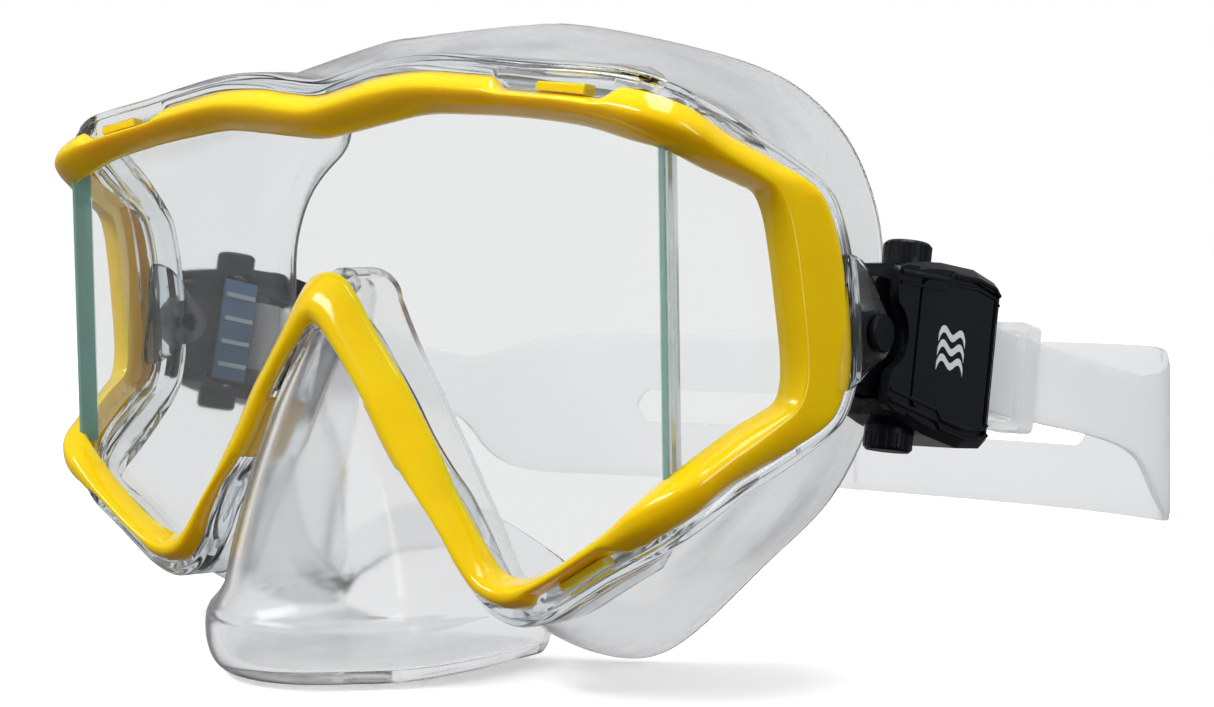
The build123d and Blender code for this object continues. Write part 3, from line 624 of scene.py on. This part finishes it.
def blur(a, n):
    k = np.ones(n) / n
    return np.convolve(np.concatenate([a[-n:], a, a[:n]]), k, mode="same")[n:-n]


y0, y1 = blur(y0, 9), blur(y1, 9)
NT = 26
wall_grid = np.empty((NJ, NT, 3))
for i, t in enumerate(np.linspace(0, 1, NT)):
    yy = y0 + (y1 - y0) * t
    xz = skirt_xz(yy)
    wall_grid[:, i, 0], wall_grid[:, i, 1], wall_grid[:, i, 2] = xz[:, 0], yy, xz[:, 1]
# the seal: the rim rolls over and runs inward as a thin feathered lip
rim = wall_grid[:, -1]
tang = np.roll(rim, -1, 0) - np.roll(rim, 1, 0)
tang /= np.linalg.norm(tang, axis=1, keepdims=True)
along = wall_grid[:, -1] - wall_grid[:, -3]
along /= np.linalg.norm(along, axis=1, keepdims=True)
inward = np.cross(tang, along)
centre = np.array([0, 0, -4.0])
sgn = np.sign(np.sum((centre - rim) * inward * [1, 0, 1], axis=1))
inward *= sgn[:, None]
inward = np.stack([blur(blur(inward[:, c], 31), 31) for c in range(3)], 1)
inward /= np.linalg.norm(inward, axis=1, keepdims=True)
lip = []
for t in np.linspace(0, 1, 16)[1:]:
    ang = t * 1.25 * math.pi / 2
    lip.append(rim + along * (2.0 * math.sin(min(ang * 1.6, math.pi / 2) ) - 3.2 * t * t) + inward * (6.5 * (1 - math.cos(ang)) ** 0.75))
full = np.concatenate([wall_grid, np.stack(lip, 1)], 1)
full[..., 2] = np.maximum(full[..., 2], -57.4)
full[..., 2] = np.minimum(full[..., 2], 46.0)
nrm = grid_normals(full, True)
outward = full - np.array([0, 20.0, -4.0])
flip = np.sign(np.sum(nrm[:, 4] * outward[:, 4] * [1, 0, 1], axis=1).mean())
nrm *= flip
thick = np.concatenate([np.full(NT, 1.0), np.linspace(0.9, 0.22, full.shape[1] - NT)])
thick[:4] = [1.3, 1.25, 1.15, 1.05]
nf = full.shape[1]
faces = rings(full, closed_u=True, closed_v=False)
NOSE = np.array([(2.0, -2.0, 3.4), (-6.0, -4.4, 6.6), (-16.0, -9.4, 11.8), (-30.0, -14.6, 19.0),
                 (-44.0, -18.6, 23.6), (-58.5, -20.4, 26.0)])


def nose_at(z):
    zz = -np.asarray(z, float)
    r = hermite(-NOSE[:, 0], NOSE[:, 1:], np.clip(zz, -2.0, 58.5))
    return r[:, 0], r[:, 1]


flat = full.reshape(-1, 3)
_, wide = nose_at(flat[:, 2])
inside = (np.abs(flat[:, 0]) < wide - 1.0) & (flat[:, 2] < 1.0) & (flat[:, 1] < 26.0)
faces = [f for f in faces if not all(inside[i] for i in f)]
# the wall thins out where it melts into the nose pocket
gap = np.maximum(np.maximum(np.abs(flat[:, 0]) - (wide - 1.0), flat[:, 1] - 26.0), flat[:, 2] - 1.0)
tk = (np.tile(thick, NJ) * np.clip(gap / 5.0, 0.1, 1.0))[:, None]
nv = nrm.reshape(-1, 3)
skirt = shell("skirt_seal", flat, faces, nv * tk, -nv * tk, SILICONE, 60)
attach(skirt, "mask")
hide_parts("skirt")

# nose pocket: a rounded shell, closed underneath by a thicker lip band
NV, NU = 60, 120
zs = np.concatenate([np.linspace(1.0, -48.6, 40), -48.6 - 8.9 * np.sin(np.linspace(0, 1, 21)[1:] * math.pi / 2)])
pocket = np.empty((NV, NU, 3))
th = np.linspace(0, 1, NU)
for i, z in enumerate(zs):
    fr, wd = nose_at(np.array([z]))
    fr, wd = fr[0], wd[0]
    band = step(-z, 47.6, 49.4) * 0.9
    roll = max(0.0, (-z - 48.6) / 8.9)
    pull = 4.6 * (1 - math.sqrt(max(0.0, 1 - roll**2.4)))
    trim = 0.92 + 0.08 * step(-z, 44.0, 49.5)
    w, f0 = wd * trim + band - pull, fr * trim - band + pull
    yb = float(np.interp(-z, [-1, 12, 30, 42, 50], [13.5, 15.5, 18.0, 21.0, 23.5]))
    # plan outline: a blunt pointed nose that runs straight back along the cheeks
    knots_xy = np.array([(-w * 1.0, yb), (-w * 1.01, (yb + 6.0) / 2), (-w, 6.0), (-w * 0.90, f0 * 0.30 + 1.2),
                         (-w * 0.66, f0 * 0.60 + 0.4), (-w * 0.34, f0 * 0.90), (0, f0),
                         (w * 0.34, f0 * 0.90), (w * 0.66, f0 * 0.60 + 0.4), (w * 0.90, f0 * 0.30 + 1.2),
                         (w, 6.0), (w * 1.01, (yb + 6.0) / 2), (w * 1.0, yb)])
    t = np.concatenate([[0], np.cumsum(np.linalg.norm(np.diff(knots_xy, axis=0), axis=1))])
    c = hermite(t, knots_xy, th * t[-1])
    pocket[i, :, 0], pocket[i, :, 1], pocket[i, :, 2] = c[:, 0], c[:, 1], z
# floor under the nostrils
floor_rows = []
for t in (0.25, 0.5, 0.75, 0.97):
    r = pocket[-1].copy()
    r[:, 0] *= 1 - t
    r[:, 1] = r[:, 1] * (1 - t) + 12.0 * t
    r[:, 2] = -57.5 + 1.2 * t
    floor_rows.append(r)
# the hood over the bridge of the nose, closed behind the lens
hood = []
for t in np.linspace(1, 0, 13)[:-1]:
    a = t * 0.5 * math.pi
    r = pocket[0].copy()
    z = 1.0 + 4.6 * math.sin(a)
    r[:, 0] *= max(math.cos(a), 0.0) ** 0.6
    r[:, 1] = 4.4 + (r[:, 1] - 4.4) * (0.55 + 0.45 * math.cos(a))
    r[:, 1] = np.maximum(r[:, 1], min(-2.0 + (z - 1.0) * 2.6, 4.4))
    r[:, 2] = z
    hood.append(r)
n_hood = len(hood)
pocket = np.concatenate([np.stack(hood), pocket, np.stack(floor_rows)], 0)
pn = grid_normals(pocket, False)
ref = pocket - np.array([0, 14.0, -30.0])
pn *= np.sign(np.sum(pn[40] * ref[40], axis=-1).mean())
pth = np.full(len(pocket), 0.9)
pth[40 + n_hood:] = 1.5
pv = pocket.reshape(-1, 3)
pf = rings(pocket, closed_u=False, closed_v=False)
tk = np.repeat(pth, NU)[:, None]
out_v = pn.reshape(-1, 3) * np.minimum(tk, 1.0)
low = (pv + out_v)[:, 2] < -58.4
out_v[low, 2] = -58.4 - pv[low, 2]
nose = shell("nose_pocket", pv, pf, out_v, -pn.reshape(-1, 3) * tk, SILICONE, 60)
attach(nose, "mask")
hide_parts("skirt")

# ------------------------------------------------------------------- strap
STRAP_TOP = [(65, -4.5), (72, -5.9), (84, -8.5), (107, -13.2), (122, -16.0), (132, -15.2),
             (139, -13.0), (146, -12.0), (164, -12.0)]
STRAP_LOW = [(65, -18.1), (72, -19.6), (84, -21.9), (107, -26.6), (119.5, -31.3), (128, -39.5),
             (136, -44.0), (146, -46.0), (164, -46.5)]
OUTER = 80.6 + 2.3 + 0.2 + 1.7
MIDLINE = [(OUTER - 0.85, 52.7), (OUTER - 0.85, 65), (OUTER - 0.85, 74), (84.75, 100), (85.3, 121.7), (83.6, 135.4),
           (76.45, 146.1), (61.7, 152.75), (39.85, 156.15), (0, 157.55)]
mid = np.array(MIDLINE + [(-x, y) for x, y in MIDLINE[-2::-1]], float)
tm = np.concatenate([[0], np.cumsum(np.linalg.norm(np.diff(mid, axis=0), axis=1))])
NP = 420
pathp = hermite(tm, mid, np.linspace(0, tm[-1], NP))
half_n = NP // 2
HP = np.vstack([hermite(tm, mid, np.linspace(0, tm[-1] / 2, 211))])
top_z = hermite(*np.array(STRAP_TOP).T[:1], np.array(STRAP_TOP)[:, 1], HP[:, 1])[:, 0]
low_z = hermite(*np.array(STRAP_LOW).T[:1], np.array(STRAP_LOW)[:, 1], HP[:, 1])[:, 0]
before = HP[:, 1] < 65
top_z[before] = -4.5 + (65 - HP[before, 1]) * 0.2126
low_z[before] = -18.1 + (65 - HP[before, 1]) * 0.2126
bx = np.abs(HP[:, 0])
open_half = np.where(bx < 55, 4.0, np.where(bx < 59, np.sqrt(np.maximum(16 - (bx - 55) ** 2, 0)), 0.0)) * (HP[:, 1] > 100)
LANE = 14
cols_v = []
for i in range(len(HP)):
    z1, z0, g = top_z[i], low_z[i], open_half[i]
    zc = np.interp(HP[i, 1], [52, 65, 100, 130], [(z1 + z0) / 2, (z1 + z0) / 2, (z1 + z0) / 2, -29.2])
    up = np.linspace(z1, zc + g, LANE)
    dn = np.linspace(zc - g, z0, LANE)
    cols_v.append(np.concatenate([up, dn]))
cols_v = np.array(cols_v)
NVV = cols_v.shape[1]
g = np.empty((len(HP), NVV, 3))
g[..., 0], g[..., 1], g[..., 2] = HP[:, None, 0], HP[:, None, 1], cols_v
sf = []
for i in range(len(HP) - 1):
    for j in range(NVV - 1):
        if j == LANE - 1 and (open_half[i] > 0 or open_half[i + 1] > 0):
            continue
        sf.append((i * NVV + j, i * NVV + j + 1, (i + 1) * NVV + j + 1, (i + 1) * NVV + j))
tx = np.gradient(HP, axis=0)
tx /= np.linalg.norm(tx, axis=1, keepdims=True)
nx = np.stack([tx[:, 1], -tx[:, 0], 0 * tx[:, 0]], 1)         # outward
nvec = np.repeat(nx, NVV, 0)
yv = g[..., 1].reshape(-1)
vcol = np.tile(np.arange(NVV), len(HP))
edge = np.minimum(vcol, NVV - 1 - vcol)
thin = np.where(edge == 0, 0.62, np.where(edge == 1, 0.86, 1.0))
run = np.repeat(np.concatenate([[0], np.cumsum(np.linalg.norm(np.diff(HP, axis=0), axis=1))]), NVV)
ribs = 0.22 * (0.5 + 0.5 * np.cos(run / 2.4 * 2 * math.pi)) * (run < 52) * (run > 4) * (edge > 1)
out_t = 0.85 * thin
in_t = (0.85 - ribs) * thin
for sg, side in ((1, "left"), (-1, "right")):
    gv = g.reshape(-1, 3) * [sg, 1, 1]
    nn = nvec * [sg, 1, 1]
    ff = sf if sg > 0 else [tuple(reversed(f)) for f in sf]
    band = shell("strap_band_" + side, gv, ff, nn * out_t[:, None], -nn * in_t[:, None], STRAP_MAT, 40)
    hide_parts("strap")
    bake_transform(band)
    # the end wraps the roller and folds back along the inside of the band
    cx = 80.6
    prof = []
    for a in np.linspace(0, math.pi, 15):
        prof.append((cx + 3.35 * math.cos(a), 19.7 - 3.35 * math.sin(a)))
    tail = [(cx - 3.35, 23.0), (cx - 2.9, 26.0), (cx - 1.1, 30.0), (OUTER - 2.85, 37.0), (OUTER - 2.85, 46.0), (OUTER - 2.85, 54.6)]
    prof = [(OUTER - 0.85, 34.0), (OUTER - 0.85, 28.0), (OUTER - 0.85, 22.0)] + prof + tail
    prof = np.array(prof)
    tt = np.concatenate([[0], np.cumsum(np.linalg.norm(np.diff(prof, axis=0), axis=1))])
    pp = hermite(tt, prof, np.linspace(0, tt[-1], 110))
    tg = np.gradient(pp, axis=0)
    tg /= np.linalg.norm(tg, axis=1, keepdims=True)
    pnv = np.stack([-tg[:, 1], tg[:, 0]], 1)
    vv = np.linspace(-7, 7, 15)
    th2 = np.where(np.abs(vv) > 6.9, 0.62, 1.0) * 0.84
    lays = []
    for sgn2 in (1, -1):
        xu = pp[:, None, :] + pnv[:, None, :] * (sgn2 * th2)[None, :, None]
        lays.append(place_buckle(sg * xu[..., 0], xu[..., 1], np.broadcast_to(vv, xu.shape[:2])))
    a, b = lays
    nU, nV = a.shape[:2]
    verts = np.concatenate([a.reshape(-1, 3), b.reshape(-1, 3)])
    fa = rings(a, closed_u=False, closed_v=False)
    fb = [tuple(nU * nV + i for i in reversed(f)) for f in fa]
    rims = []
    border = [(0, j) for j in range(nV)] + [(i, nV - 1) for i in range(1, nU)] + \
             [(nU - 1, j) for j in range(nV - 2, -1, -1)] + [(i, 0) for i in range(nU - 2, 0, -1)]
    ids = [i * nV + j for i, j in border]
    for p, q2 in zip(ids, ids[1:] + ids[:1]):
        rims.append((p, q2, nU * nV + q2, nU * nV + p))
    fold = fix_normals(mesh("strap_fold_" + side, verts, fa + fb + rims, STRAP_MAT, 40))
    fold.data.set_sharp_from_angle(angle=math.radians(40))
    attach(fold, "buckle_" + side)
    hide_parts("strap")
    # the keeper loop sits on the band and follows it
    cad = NODES["strap_keeper_" + side]
    co = np.array([tuple(cad.matrix_world @ q.co) for q in cad.data.vertices])
    loop = mesh("keeper_loop_" + side, co, [tuple(q.vertices) for q in cad.data.polygons], STRAP_MAT, 40, metres=True)
    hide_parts("strap_keeper_" + side)
    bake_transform(loop)

# ------------------------------------------------------- carried-over pieces
def dress(name, mat, bevel=0.0, angle=30.0):
    o = NODES[name]
    o.data.materials.clear()
    o.data.materials.append(mat)
    if bevel:
        b = o.modifiers.new("soft_edges", "BEVEL")
        b.width = bevel
        b.segments = 3
        b.limit_method = "ANGLE"
        b.angle_limit = math.radians(angle)
        b.harden_normals = True
    return o


for n in ("front_lens", "side_lens_left", "side_lens_right"):
    dress(n, GLASS, 0.0)
for side in ("left", "right"):
    dress("buckle_cover_" + side, BLACK, 0.0002)
    dress("buckle_base_" + side, BLACK2, 0.00015)
    dress("ratchet_pawl_" + side, BLACK2, 0.0)
    dress("strap_roller_" + side, ROLLER, 0.0)
    dress("roller_axle_" + side, STEEL, 0.0)
    dress("swivel_pin_" + side, BLACK2, 0.0)
    dress("upper_button_" + side, BLACK2, 0.0001)
    dress("lower_button_" + side, BLACK2, 0.0001)
    dress("upper_spring_" + side, STEEL, 0.0)
    dress("lower_spring_" + side, STEEL, 0.0)
    dress("wave_badge_" + side, PRINT, 0.0)
    dress("strap_keeper_" + side, STRAP_MAT, 0.0003)

# moulded ribs on the head side of each buckle
for sg, side in ((1, "left"), (-1, "right")):
    back = [prism([(7.6, -10.3), (7.6, 10.3), (16.0, 10.3), (16.0, -10.3)], 76.5, 76.95, 0.12, sg)]
    bars = [prism([(8.2, v0 - 0.45), (8.2, v0 + 0.45), (15.4, v0 + 0.45), (15.4, v0 - 0.45)], 75.9, 76.6, 0.15, sg)
            for v0 in (-7.2, -2.4, 2.4, 7.2)]
    for label, parts, mat in (("back", back, RIB_BLUE), ("ribs", bars, RIB_PALE)):
        v, f = merge(parts)
        o = fix_normals(mesh(f"buckle_{label}_{side}", v, f, mat, 30))
        o.data.set_sharp_from_angle(angle=math.radians(30))
        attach(o, "buckle_" + side)


def tube(points, r, n=8):
    """Round bar through points, capped."""
    p = np.array(points, float)
    t = np.gradient(p, axis=0)
    t /= np.linalg.norm(t, axis=1, keepdims=True)
    ref = np.array([0.31, 0.17, 0.93])
    a = np.cross(t, ref)
    a /= np.linalg.norm(a, axis=1, keepdims=True)
    b2 = np.cross(t, a)
    th = np.linspace(0, 2 * math.pi, n, endpoint=False)
    g2 = p[:, None] + r * (a[:, None] * np.cos(th)[None, :, None] + b2[:, None] * np.sin(th)[None, :, None])
    f = rings(g2, closed_u=False) + [tuple(reversed(range(n))), tuple((len(p) - 1) * n + i for i in range(n))]
    return g2.reshape(-1, 3), f


# stepped trim of the buckle cover: a nose plate that reaches forward round the
# swivel, and a doubled ridge along its upper and lower edges
bite = [(5.15 * math.cos(a), 5.15 * math.sin(a)) for a in np.linspace(math.radians(72), math.radians(-72), 17)]
for sg, side in ((1, "left"), (-1, "right")):
    plate = [(6.4, -11.6), (6.4, 11.6), (3.0, 11.2), (0.9, 10.4), (0.6, 9.2), (1.1, 5.9)] + bite + \
            [(1.1, -5.9), (0.6, -9.2), (0.9, -10.4), (3.0, -11.2)]
    n = len(plate)
    pl = np.array(plate, float)
    g2 = np.stack([place_buckle(sg * x, pl[:, 0], pl[:, 1]) for x in (85.45, 86.75, 86.95)], 0)
    # the top ring is drawn in a little for a soft edge
    mid2 = np.array([3.6, 0.0])
    top2 = pl + (mid2 - pl) * 0.02
    g2[2] = place_buckle(sg * 86.98, top2[:, 0], top2[:, 1])
    f = rings(g2, closed_u=False)
    # each cap is one face through the whole outline, bite included
    upper_i = [0, 1, 2, 3, 4, 5] + list(range(6, 6 + len(bite))) + list(range(6 + len(bite), n))
    f += [tuple(reversed(upper_i)), tuple(2 * n + i for i in upper_i)]
    parts = [(g2.reshape(-1, 3), f)]
    for sv in (1, -1):
        for off, r in ((0.0, 0.42), (-1.55, 0.30)):
            line = [(1.4, 9.6), (8.0, 10.2), (15.2, 10.9), (16.4, 12.0), (24.0, 12.6), (29.5, 12.2), (31.2, 11.2)]
            q2 = [(u, (v0 + off) * sv) for u, v0 in line]
            qq = []
            for (u0, v0), (u1, v1) in zip(q2, q2[1:]):
                qq += [(u0 + (u1 - u0) * k / 6, v0 + (v1 - v0) * k / 6) for k in range(6)]
            qq.append(q2[-1])
            qq = np.array(qq)
            parts.append(tube(place_buckle(sg * 86.98, qq[:, 0], qq[:, 1]), r))
    back_line = np.array([(30.4, v0) for v0 in np.linspace(-10.6, 10.6, 12)])
    parts.append(tube(place_buckle(sg * 86.98, back_line[:, 0], back_line[:, 1]), 0.3))
    v, f = merge(parts)
    o = fix_normals(mesh("buckle_trim_" + side, v, f, BLACK, 40))
    o.data.set_sharp_from_angle(angle=math.radians(40))
    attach(o, "buckle_" + side)

# return springs: coils copied from the model's spring parts
for side in ("left", "right"):
    for level, sign in (("upper", 1.0), ("lower", -1.0)):
        cad = NODES[f"{level}_spring_{side}"]
        co = np.array([tuple(cad.matrix_world @ v.co) for v in cad.data.vertices])
        fc = [tuple(f.vertices) for f in cad.data.polygons]
        coil = mesh(f"return_coil_{level}_{side}", co, fc, STEEL, 60, metres=True)
        axis = np.array([0.0, math.sin(TILT), math.cos(TILT)]) * sign
        h = (co - co.mean(0)) @ axis
        a0, a1 = co.mean(0) + axis * h.min(), co.mean(0) + axis * h.max()
        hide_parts(f"{level}_spring_{side}")
        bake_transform(coil)

# ---------------------------------------------------------------- studio
def plane(name, size, loc, mat):
    s = size / 2
    o = mesh(name, [(-s, -s, 0), (s, -s, 0), (s, s, 0), (-s, s, 0)], [(0, 1, 2, 3)], mat, 0, metres=True)
    o.location = loc
    return o


m, nt, b = new_mat("studio_floor")
b.inputs["Base Color"].default_value = (0.95, 0.95, 0.95, 1)
b.inputs["Roughness"].default_value = 0.9
b.inputs["Specular IOR Level"].default_value = 0.05
b.inputs["Emission Color"].default_value = (1, 1, 1, 1)
b.inputs["Emission Strength"].default_value = 0.25
floor = plane("studio_floor", 30.0, (0, 0, -0.0006), m)
floor.visible_diffuse = False
floor.visible_glossy = False
floor.visible_transmission = False


def softbox(name, loc, target, size, power, color=(1, 1, 1)):
    li = bpy.data.lights.new(name, "AREA")
    li.shape = "RECTANGLE"
    li.size, li.size_y = size
    li.energy = power
    li.color = color
    o = bpy.data.objects.new(name, li)
    bpy.context.scene.collection.objects.link(o)
    o.location = loc
    o.rotation_euler = (Vector(target) - Vector(loc)).to_track_quat("-Z", "Y").to_euler()
    o.visible_transmission = False
    return o


softbox("key_softbox", (-0.30, -0.80, 0.85), (0, 0, 0.06), (0.8, 0.25), 7.0)
softbox("top_softbox", (0.15, 0.10, 1.15), (0, 0, 0.05), (1.0, 0.4), 7.2)
softbox("side_softbox", (0.95, -0.25, 0.35), (0.05, 0, 0.06), (0.2, 0.8), 2.4)

# bright above, dimmer towards the floor, and plain white where it shows directly
w = bpy.data.worlds.new("studio")
bpy.context.scene.world = w
w.use_nodes = True
wn = w.node_tree
bg = wn.nodes["Background"]
tc = wn.nodes.new("ShaderNodeTexCoord")
dot = wn.nodes.new("ShaderNodeVectorMath")
dot.operation = "DOT_PRODUCT"
dot.inputs[1].default_value = (-0.35, 0.25, 0.75)
wn.links.new(tc.outputs["Generated"], dot.inputs[0])
grad = wn.nodes.new("ShaderNodeMapRange")
grad.inputs["From Min"].default_value = -0.6
grad.inputs["From Max"].default_value = 0.8
grad.inputs["To Min"].default_value = 0.10
grad.inputs["To Max"].default_value = 1.0
wn.links.new(dot.outputs["Value"], grad.inputs["Value"])
lp = wn.nodes.new("ShaderNodeLightPath")
low = wn.nodes.new("ShaderNodeMath")
low.operation = "MULTIPLY"
low.inputs[1].default_value = 0.35
wn.links.new(grad.outputs["Result"], low.inputs[0])
gl = wn.nodes.new("ShaderNodeMix")
gl.data_type = "FLOAT"
wn.links.new(lp.outputs["Is Glossy Ray"], gl.inputs["Factor"])
wn.links.new(grad.outputs["Result"], gl.inputs["A"])
wn.links.new(low.outputs["Value"], gl.inputs["B"])
thru = wn.nodes.new("ShaderNodeMix")
thru.data_type = "FLOAT"
wn.links.new(lp.outputs["Is Transmission Ray"], thru.inputs["Factor"])
wn.links.new(gl.outputs["Result"], thru.inputs["A"])
thru.inputs["B"].default_value = 0.84
mx = wn.nodes.new("ShaderNodeMix")
mx.data_type = "FLOAT"
wn.links.new(lp.outputs["Is Camera Ray"], mx.inputs["Factor"])
wn.links.new(thru.outputs["Result"], mx.inputs["A"])
mx.inputs["B"].default_value = 1.0
wn.links.new(mx.outputs["Result"], bg.inputs["Strength"])
bg.inputs["Color"].default_value = (1, 1, 1, 1)

sc = bpy.context.scene
sc.view_settings.view_transform = "Standard"
sc.view_settings.look = "None"

cam_data = bpy.data.cameras.new("camera")
cam_data.lens = 57.68
cam_data.sensor_width = 36.0
cam_data.clip_start, cam_data.clip_end = 0.01, 60.0
cam = bpy.data.objects.new("camera", cam_data)
sc.collection.objects.link(cam)
az, el, roll = math.radians(40.0), math.radians(3.03), math.radians(0.93)
right = np.array([math.cos(az), math.sin(az), 0.0])
fwd = np.array([-math.sin(az) * math.cos(el), math.cos(az) * math.cos(el), -math.sin(el)])
up = np.cross(right, fwd)
r2 = right * math.cos(roll) - up * math.sin(roll)
u2 = right * math.sin(roll) + up * math.cos(roll)
pos = world((239.1, -214.5, 8.6))[0]
m = Matrix.Identity(4)
for i in range(3):
    m[i][0], m[i][1], m[i][2], m[i][3] = r2[i], u2[i], -fwd[i], pos[i]
cam.matrix_world = m
sc.camera = cam
